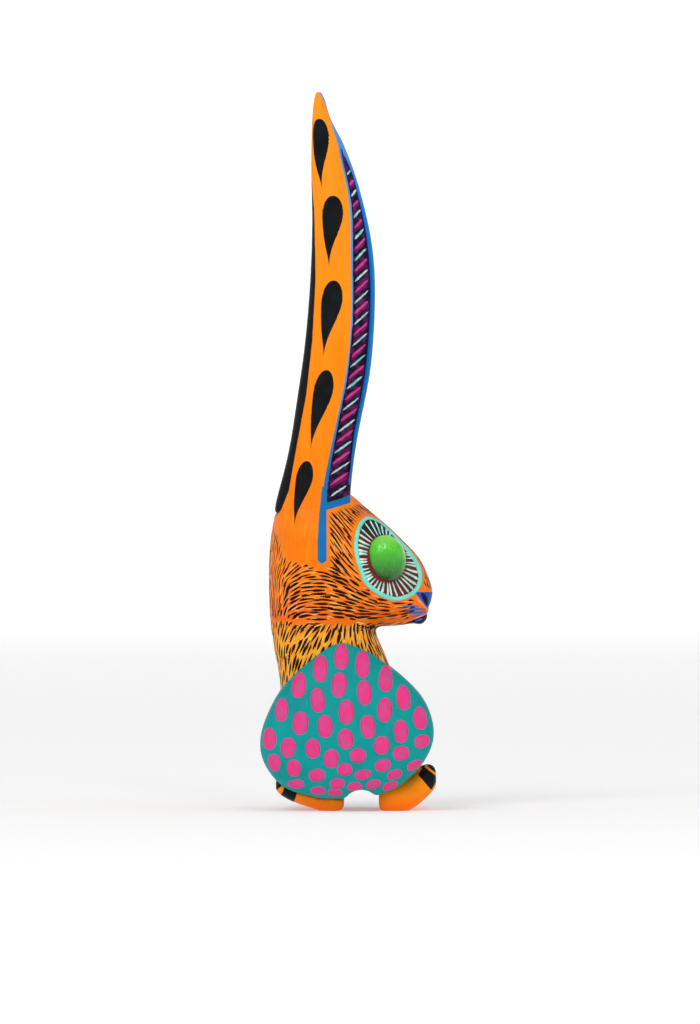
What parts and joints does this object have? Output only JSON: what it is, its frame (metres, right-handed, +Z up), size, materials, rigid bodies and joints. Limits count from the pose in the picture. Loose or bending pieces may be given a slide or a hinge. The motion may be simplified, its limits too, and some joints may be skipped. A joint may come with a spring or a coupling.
{
  "type": "carved animal figurine",
  "caption": "Painted wooden hare figurine with tall cupped ears, domed eyes, spade-shaped haunches and striped feet.",
  "frame": {"origin": "middle of the footprint, on the surface that the feet stand on", "axes": "+Z up along the ears, +X the way the hare looks, +Y to its left"},
  "size_m": [0.088, 0.074, 0.359],
  "materials": {
    "fur_paint": "satin acrylic paint in yellow orange to red orange, with fine dark brush strokes for fur",
    "ear_paint": "satin acrylic paint, orange with black drops, blue rims and a dark purple hollow",
    "eye_lacquer": "green paint under thick clear lacquer",
    "haunch_paint": "satin acrylic paint, teal with pink ovals",
    "foot_paint": "satin acrylic paint, orange with black bands at the toes",
    "bare_wood": "unpainted soft wood"
  },
  "bodies": {
    "root": {"torso": "fur_paint", "head": "fur_paint", "right_ear": "ear_paint", "left_ear": "ear_paint", "right_eye": "eye_lacquer", "left_eye": "eye_lacquer", "right_haunch": "haunch_paint", "left_haunch": "haunch_paint", "right_foreleg": "foot_paint", "left_foreleg": "foot_paint", "right_hind_foot": "foot_paint", "left_hind_foot": "foot_paint", "tail": "fur_paint", "neck_dowel": "bare_wood", "ear_pegs": "bare_wood", "haunch_pegs": "bare_wood", "foreleg_pegs": "bare_wood", "hind_foot_pegs": "bare_wood", "tail_peg": "bare_wood"}
  },
  "joints": []
}
